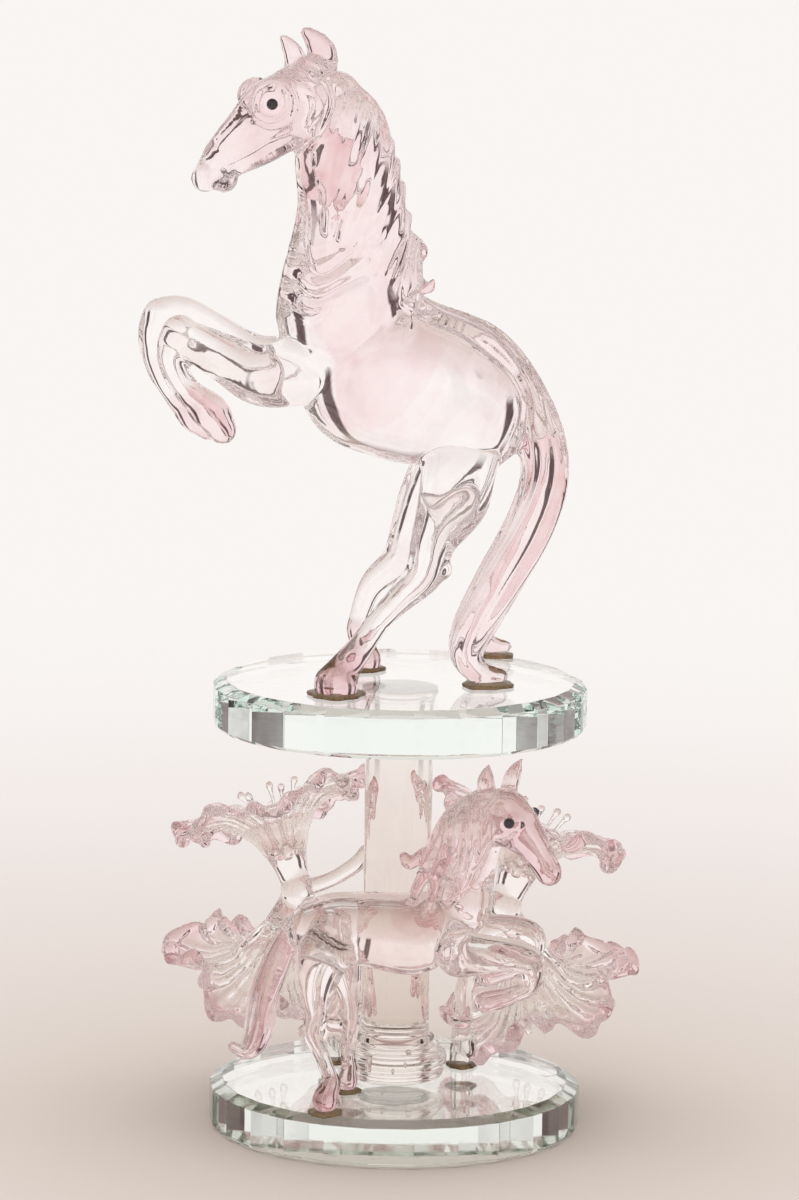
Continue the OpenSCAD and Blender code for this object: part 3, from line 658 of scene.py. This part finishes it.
neck_folds = [
    [[-21, 99, 1.2, -0.6], [-21.2, 92, 1.4, -1.4], [-20, 88.6, 1.5, -1.7], [-17.4, 87.8, 1.5, -1.7],
     [-13.6, 90.2, 1.4, -1.5], [-9.2, 94.2, 1.3, -0.8]],
    [[-21.4, 86.4, 1.3, 0.6], [-18, 85.4, 1.3, 0.8], [-13.4, 87.8, 1.3, 0.7], [-8.4, 91, 1.3, 0.4]],
    [[-22.6, 85.4, 1.2, -0.7], [-21, 83.4, 1.4, -1.4], [-18, 82.8, 1.4, -1.5], [-13, 85.4, 1.4, -1.3],
     [-8, 87.8, 1.2, -0.6]],
    [[-22, 81.4, 1.1, 0.5], [-18, 80.8, 1.1, 0.6], [-13.6, 83, 1.1, 0.4]],
    [[-23, 80.4, 1.1, -0.6], [-21.6, 79, 1.3, -1.2], [-19, 79, 1.3, -1.2], [-15.6, 82, 1.2, -0.5]]]
back_crease = [
    [[-1.4, 81.2, 1.2, -0.5], [4.5, 77.4, 1.4, -1], [12.5, 74, 1.5, -1.3], [18.2, 70.6, 1.6, -1.6],
     [22.8, 66.2, 1.7, -1.8], [25.2, 61.2, 1.7, -1.8], [25, 56.4, 1.6, -1.5], [22, 50, 1.4, -0.8]]]
eye_ring_and_cheek = [
    [[-31.8, 122.4, 1, 1.3], [-30.4, 125.4, 1, 1.4], [-27, 126.2, 1, 1.4], [-24.6, 123.6, 1, 1.4],
     [-25.2, 120.2, 1, 1.4], [-28.2, 118.8, 1, 1.4], [-31, 119.8, 1, 1.4], [-31.8, 122.4, 1, 1.3]],
    [[-22, 126, 1.1, 1], [-19, 122.6, 1.1, 1.3], [-20.8, 118.4, 1.1, 1.2]],
    [[-17.5, 128, 1.3, -1], [-15, 123.6, 1.4, -1.4], [-17, 117.6, 1.4, -1.4], [-21.6, 113.4, 1.3, -1]]]
mouth_bridge_and_brow = [
    [[-37.2, 109.6, 1.2, -0.9], [-33.4, 111.4, 1.2, -1.2], [-28.6, 114.4, 1.2, -1],
     [-24.4, 116.4, 1.2, -0.5]],
    [[-38.6, 114, 1.1, 0.8], [-34.6, 118, 1.1, 1], [-32, 119.6, 1.1, 0.8]],
    [[-30, 129, 1.1, 0.8], [-26, 129.2, 1.1, 1.1], [-21.6, 127.8, 1.1, 1.1]]]
press(melted, neck_folds + back_crease + eye_ring_and_cheek + mouth_bridge_and_brow)
strand_pinks = [0.46 + 0.16 * math.sin(2.4 * i) for i in range(len(strands) + len(curls))]
muzzle = [[-37.8, -15.5, 110.5, 4.6], [-41, -16.3, 107, 4]]
stain(melted, [(body, 0.15), (shoulder, 0.13), (neck, 0.17), (head[:3], 0.62), (muzzle, 0.2),
               (near_ear, 0.65), (far_ear, 0.5), (near_foreleg, 0.05), (far_foreleg, 0.05),
               (near_forehoof, 0.55), (far_forehoof, 0.55), (near_hind_leg, 0.05),
               (near_hind_hoof, 0.85), (far_hind_leg, 0.08), (far_hind_hoof, 0.75),
               (near_tail, 0.38), (far_tail, 0.4)]
      + list(zip(strands + curls, strand_pinks)))
melted.transform(Matrix.Translation((0, 0, upper_top)))
horse_glass = rose_glass("rose_glass", (0.985, 0.965, 0.955), (0.935, 0.80, 0.81), (0.80, 0.54, 0.57))
big_horse_nodes = ["big_horse_" + part for part in (
    "body", "neck", "head", "ears", "mane", "near_foreleg", "far_foreleg", "front_hooves", "near_hind_leg",
    "far_hind_leg", "hind_hooves", "near_tail", "far_tail")]
place_piece("big_horse_glass", melted, horse_glass, big_horse_nodes)


# ---- Big horse's eyes ----
# A black glass bead pressed on each side of the head and cased in a ring of clear glass.

eye_black, tree, shader = principled("eye_glass")
black = ramp(tree, object_noise(tree, 2500, 2), [(0.3, (0.008, 0.006, 0.007)), (0.8, (0.03, 0.02, 0.022))])
tree.links.new(black, shader.inputs["Base Color"])
shader.inputs["Roughness"].default_value = 0.08
shader.inputs["Coat Weight"].default_value = 0.5
bm = bmesh.new()
blob(bm, -28, -19.9, upper_top + 122.8, 1.2)
blob(bm, -30.4, -4.6, upper_top + 125.6, 1.1)
finish_piece("big_horse_eye_beads", bm, eye_black, ["big_horse_eyes"])


# ---- Big horse's glue pads ----
# Amber adhesive squeezed out from under the hind hooves and the tail's two ends.

def glue_pads(name, pads, bottom, thick, node):
    """Each pad of (x, y, radius) is a flat puddle with an uneven, rounded edge."""
    bm = bmesh.new()
    for i, (x, y, r) in enumerate(pads):
        before = set(bm.verts)
        lathe(bm, [(0, 0.01), (r * 0.97, 0.01),
                   *arc(r - thick * 0.5, thick * 0.45, thick * 0.44, -60, 70, 5),
                   (r * 0.7, thick * 0.95), (0, thick)], 40)
        puddle = [v for v in bm.verts if v not in before]
        for v in puddle:
            a = math.atan2(v.co.y, v.co.x)
            spread = 1 + 0.07 * math.sin(3 * a + i) + 0.05 * math.sin(7 * a + 2 * i)
            v.co.x, v.co.y = x + v.co.x * spread, y + v.co.y * spread
            v.co.z += bottom
    finish_piece(name, bm, amber_glue, [node])


amber_glue = glue("amber_glue", (0.62, 0.42, 0.22), 0.25)
pad_thick = 0.9
glue_pads("big_horse_pads", [(-13.3, -21, 5.9), (-7.8, 10, 4.4), (18.3, -7, 5.4), (20.8, tail_foot_y, 3.8)],
          upper_top, pad_thick, "big_horse_glue_pads")


# ---- Small galloping horse ----
# The same lampwork at half size, with more pink in it, standing on its two hind hooves on the
# lower disc in front of the column.

small_body = [[10, 0, 38.6, 7], [6.5, 0, 38, 8], [3, 0, 36.8, 8.8], [-4.5, 0, 37.5, 8.1],
              [-12.8, 0, 38, 7.4], [-16.5, 0, 37.5, 6.6]]
small_neck = [[13.7, 0, 42.5, 6.2], [15.2, 0, 50.4, 5.4], [17.2, -0.5, 57, 4.8], [19.6, -1, 62.3, 4.7]]
small_head = [[22, -1.5, 63, 5.6], [25.5, -3.5, 59.8, 4.7], [29, -6, 55.7, 3.4], [31.5, -7.5, 51.8, 2.8]]
small_near_ear = [[18.6, -3.5, 66.5, 1.9], [18.1, -4, 70, 2], [18.4, -4.4, 72.6, 1.2],
                  [18.7, -4.5, 73.9, 0.5]]
small_far_ear = [[22.9, 1.8, 66.5, 1.9], [23.7, 2.2, 70, 1.9], [24.8, 2.5, 72.4, 1.2],
                 [25.6, 2.6, 73.8, 0.5]]
small_near_foreleg = [[13, -5, 33.5, 4.8], [21.7, -7, 34, 3.7], [28, -7, 32.5, 3.2], [27.7, -7, 27.5, 2.1],
                      [23.5, -7, 25.3, 1.9]]
small_near_forehoof = [[23.5, -7, 25.3, 2.1], [18.8, -7, 24, 2.5]]
small_far_foreleg = [[13, 4, 34.5, 4.6], [22, 6, 36.5, 3.4], [28.5, 6.5, 35, 3], [28, 6.5, 30, 2],
                     [24, 6.5, 27.8, 1.9]]
small_far_forehoof = [[24, 6.5, 27.8, 2.1], [19.5, 6.5, 26.5, 2.4]]
small_near_hind_leg = [[-13.4, -2.4, 37, 6.4], [-15.8, -5.2, 30.6, 5], [-16.4, -7.2, 24.6, 3.3],
                       [-16.2, -8, 20.8, 2.5], [-17.2, -8, 17.2, 2.1], [-15, -8, 12, 1.7], [-13, -9, 7, 1.7]]
small_near_hind_hoof = [[-13, -9, 7, 2], [-14.4, -9, 3, 2.9]]
small_far_hind_leg = [[-12, 4, 31, 4.6], [-10, 6, 23, 2.7], [-9.2, 8, 17, 2.1], [-9.9, 9, 10.4, 1.6],
                      [-9.6, 9.5, 5.4, 1.6]]
small_far_hind_hoof = [[-9.6, 9.5, 5.4, 1.9], [-10, 9.5, 2.4, 2.4]]
small_tail = [[-21.5, 0, 38, 2.4], [-24.7, 0, 31, 3], [-27.6, 0, 22.4, 3.2], [-28.8, 0, 14.8, 3],
              [-31, 0, 11, 2], [-34, 0, 12, 1.2]]
small_crest = [[18.5, 0, 67.5], [15.5, 0, 66.5], [12.4, 0, 64.4], [9.8, 0, 61.4], [7.8, 0, 58]]
small_mane_mass = [[18, 0, 66, 2.4], [13, 0, 62.5, 3], [10, 0, 57, 3.4], [7.5, 0, 52, 2.6]]

bm = bmesh.new()
draw_glass(bm, small_body, BODY_FLAT, 32, 6)
draw_glass(bm, small_neck, BODY_FLAT, 28, 6)
draw_glass(bm, small_head, BODY_FLAT, 24, 6)
for ear in (small_near_ear, small_far_ear):
    draw_glass(bm, ear, SMALL_EAR_FLAT, 16, 6)
for leg in (small_near_foreleg, small_far_foreleg, small_near_hind_leg, small_far_hind_leg):
    draw_glass(bm, leg, ROD_FLAT, 24, 5, ridges=3, depth=0.07, twist=3)
for hoof in (small_near_forehoof, small_far_forehoof, small_near_hind_hoof, small_far_hind_hoof):
    draw_glass(bm, hoof, ROD_FLAT, 20, 4)
draw_glass(bm, small_tail, ROD_FLAT, 28, 6, ridges=5, depth=0.1, twist=1)
small_strands = [small_mane_mass]
for side in (-1, 1):
    for i, (x, y, z) in enumerate(small_crest):
        reach = 1 + 0.18 * math.sin(1.9 * i + side)
        small_strands.append([[x, side, z - 0.4, 1.1], [x - 1.2, side * 3, z - 5 * reach, 1.3],
                              [x - 3.4, side * 4, z - 10 * reach, 1.2],
                              [x - 5.6, side * 3.6, z - 14 * reach, 0.7]])
        small_strands.append([[x + 1.2, side * 3, z - 2, 1], [x + 0.4, side * 4.8, z - 8 * reach, 1.2],
                              [x - 1.2, side * 5, z - 14 * reach, 1],
                              [x - 2.6, side * 4.8, z - 18 * reach, 0.6]])
small_strands.append([[5.5, 0, 54, 1.4], [2.4, 0, 51.6, 1.4], [1.4, -0.5, 53.4, 1.2]])
for strand in small_strands:
    draw_glass(bm, strand, ROD_FLAT, 12, 3)
small_lips_and_cheeks = [(30.6, -8.4, 52.2, 1.3), (32.8, -6.4, 52.4, 1.4), (24, -5.6, 61.6, 2.6),
                         (22.4, -4.4, 59.4, 3), (27.4, 0.2, 62.2, 2)]
small_hocks = [(-19.2, -8, 17.4, 1.3), (-15.6, -8.6, 19, 1.4), (-11.4, 9, 17, 1.2)]
for lump in small_lips_and_cheeks + small_hocks:
    blob(bm, *lump)
small_melted = melt(bm, grain=0.42, soften=9)
stain(small_melted, [(small_body, 0.28), (small_neck, 0.3), (small_head, 0.75), (small_near_ear, 0.6),
                     (small_far_ear, 0.5), (small_near_foreleg, 0.12), (small_far_foreleg, 0.12),
                     (small_near_forehoof, 0.6), (small_far_forehoof, 0.6), (small_near_hind_leg, 0.12),
                     (small_far_hind_leg, 0.2), (small_near_hind_hoof, 0.95), (small_far_hind_hoof, 0.8),
                     (small_tail, 0.6)]
      + [(strand, 0.62) for strand in small_strands])
small_inset = 16
small_place = (0, -(disc_corner_r - small_inset), lower_top)
small_melted.transform(Matrix.Translation(small_place))
small_horse_nodes = ["small_horse_" + part for part in (
    "body", "neck", "head", "ears", "mane", "near_foreleg", "far_foreleg", "near_hind_leg", "far_hind_leg",
    "hooves", "tail")]
place_piece("small_horse_glass", small_melted, horse_glass, small_horse_nodes)

bm = bmesh.new()
for x, y, z, r in [(23, -7.9, 62.3, 1.15), (28.4, 1.4, 62.8, 1.1)]:
    blob(bm, small_place[0] + x, small_place[1] + y, small_place[2] + z, r)
finish_piece("small_horse_eye_beads", bm, eye_black, ["small_horse_eyes"])
small_pads = [(small_place[0] + x, small_place[1] + y, r) for x, y, r in ((-14.4, -9, 3.5), (-10, 9.5, 2.9))]
glue_pads("small_horse_pads", small_pads, lower_top, pad_thick, "small_horse_glue_pads")


# ---- Flower ornaments ----
# Two ruffled blossoms of clear glass joined foot to foot, their rims dipped in pink, on a stem
# that stands on the lower disc and an arm that is fused to the column. One stands at each side.

WAIST_REACH, STEM_REACH, LEAN = 28, 17.5, 24
LOWER_DEPTH = 1.22
CUP_FOOT = 2
# Each flower's side, which way it is mirrored, its turn in degrees, how high its waist stands between
# the discs, and a number that makes its ruffles its own.
FLOWERS = [("right", 1, 34, 0.445, 0.4), ("left", -1, 40, 0.478, 2.1)]
tier_gap = upper_bottom - lower_top
cup = [(0, 0), (2.4, 0), (3.2, 0.5), (3.5, 2.6), (4.4, 6), (6.2, 10), (8.9, 13.6), (12.2, 16), (15.6, 17.2),
       (18.2, 17.4), (20, 17), (20.7, 17.3), (20.4, 18), (19, 18.5), (16, 18.6), (12, 17.5), (8.2, 14.9),
       (5.3, 11.3), (3.2, 7.6), (1.4, 5.3), (0, 4.7)]


def ruffle(x, y, z, seed):
    """Where the tongs push a point of the cup: five petals, their lips wavy."""
    r, a = math.hypot(x, y), math.atan2(y, x)
    lip = max(0.0, min(1.0, (r - 7) / 13)) ** 1.4
    petal = math.cos(5 * a + seed)
    grow = 1 + lip * (0.12 * petal + 0.03 * math.sin(11 * a + 2 * seed))
    rise = lip * (2 * petal - 1.4 + 0.9 * math.sin(15 * a + seed) + 0.4 * math.sin(23 * a + 3 * seed))
    return x * grow, y * grow, z + rise + 0.45 * min(1, max(0, (r - 4) / 4)) * math.cos(30 * a)


def blossom(bm, upward, waist_z, seed):
    """One blossom on the waist: a spun cup with a ruffled lip and a lumpy rope of glass round it."""
    part = bmesh.new()
    lathe(part, cup, 180)
    for v in part.verts:
        v.co = ruffle(*v.co, seed)
    lip_rope = []
    for i in range(73):
        a = math.tau * i / 72
        x, y, z = ruffle(20.2 * math.cos(a), 20.2 * math.sin(a), 17.6, seed)
        lip_rope.append([x, y, z, 1.15 + 0.5 * math.sin(18 * a + seed) + 0.2 * math.sin(7 * a)])
    draw_glass(part, lip_rope, 1, 12, 2)
    for k in range(5):
        a = k * math.tau / 5 + 0.5 + seed
        x, y = math.cos(a), math.sin(a)
        stamen = [[x * 1.5, y * 1.5, 6, 0.7], [x * 3, y * 3, 12, 0.5], [x * 5.4, y * 5.4, 19, 0.5],
                  [x * 6.4, y * 6.4, 21, 1]]
        draw_glass(part, stamen, 1, 10, 3)
    if not upward:
        bmesh.ops.scale(part, vec=(1, 1, LOWER_DEPTH), verts=part.verts)
    bmesh.ops.translate(part, vec=(0, 0, CUP_FOOT), verts=part.verts)
    lean = Matrix.Rotation(math.radians(LEAN), 3, "Y")
    bmesh.ops.rotate(part, cent=(0, 0, 0), matrix=lean, verts=part.verts)
    if not upward:
        bmesh.ops.scale(part, vec=(1, 1, -1), verts=part.verts)
    bmesh.ops.translate(part, vec=(WAIST_REACH, 0, waist_z), verts=part.verts)
    bmesh.ops.recalc_face_normals(part, faces=part.faces)
    joined = bpy.data.meshes.new("blossom")
    part.to_mesh(joined)
    part.free()
    bm.from_mesh(joined)
    bpy.data.meshes.remove(joined)


flower_glass = rose_glass("flower_glass", (0.965, 0.94, 0.915), (0.95, 0.82, 0.84), (0.84, 0.55, 0.59))
for side, mirrored, turn, lift, seed in FLOWERS:
    waist_z = tier_gap * lift
    stem = [[STEM_REACH, 0, 1, 2.6], [STEM_REACH, 0, 9, 2.1], [STEM_REACH + 0.5, 0, waist_z / 2, 2.1],
            [STEM_REACH + 4, 0, waist_z - 9, 2.1], [WAIST_REACH - 1.5, 0, waist_z - 1, 2.1]]
    arm = [[WAIST_REACH, 0, waist_z, 2], [WAIST_REACH - 9, 0, waist_z + 3.5, 1.7],
           [column_r + 4.5, 0, waist_z + 8, 1.8], [column_r + 1.6, 0, waist_z + 11.4, 1.6]]
    bm = bmesh.new()
    blossom(bm, True, waist_z, seed)
    blossom(bm, False, waist_z, seed + 1.3)
    blob(bm, WAIST_REACH, 0, waist_z, 3.9)
    draw_glass(bm, stem, 1, 20, 5, ridges=3, depth=0.05, twist=4)
    draw_glass(bm, arm, 1, 18, 5)
    flower = melt(bm, grain=0.5, soften=3)
    axis_top = Vector((math.sin(math.radians(LEAN)), 0, math.cos(math.radians(LEAN))))
    shades = []
    for v in flower.vertices:
        away = v.co - Vector((WAIST_REACH, 0, waist_z))
        away.z = abs(away.z)
        along = away.dot(axis_top)
        out = (away - axis_top * along).length
        on_petals = along > 8 and (v.co.x > STEM_REACH + 4 or abs(v.co.y) > 3)
        shades.append(min(0.72, max(0.05, (out - 12) / 11)) if on_petals else 0.05)
    flower.attributes.new("pink", "FLOAT", "POINT").data.foreach_set("value", shades)
    flower.transform(Matrix.Diagonal((mirrored, 1, 1, 1)) @ Matrix.Rotation(math.radians(turn), 4, "Z")
                     @ Matrix.Translation((0, 0, lower_top)))
    if mirrored < 0:
        flower.flip_normals()
    flower_nodes = [side + "_" + part for part in ("waist", "stem", "arm", "upper_blossom", "lower_blossom")]
    place_piece(side + "_flower_glass", flower, flower_glass, flower_nodes)
stem_pad_r, stem_pad_thick = 3.3, 0.95
stem_feet = []
for _, mirrored, turn, _, _ in FLOWERS:
    angle = math.radians(turn)
    stem_feet.append((mirrored * STEM_REACH * math.cos(angle), STEM_REACH * math.sin(angle), stem_pad_r))
glue_pads("stem_pads", stem_feet, lower_top, stem_pad_thick, "stem_glue_pads")

low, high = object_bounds()
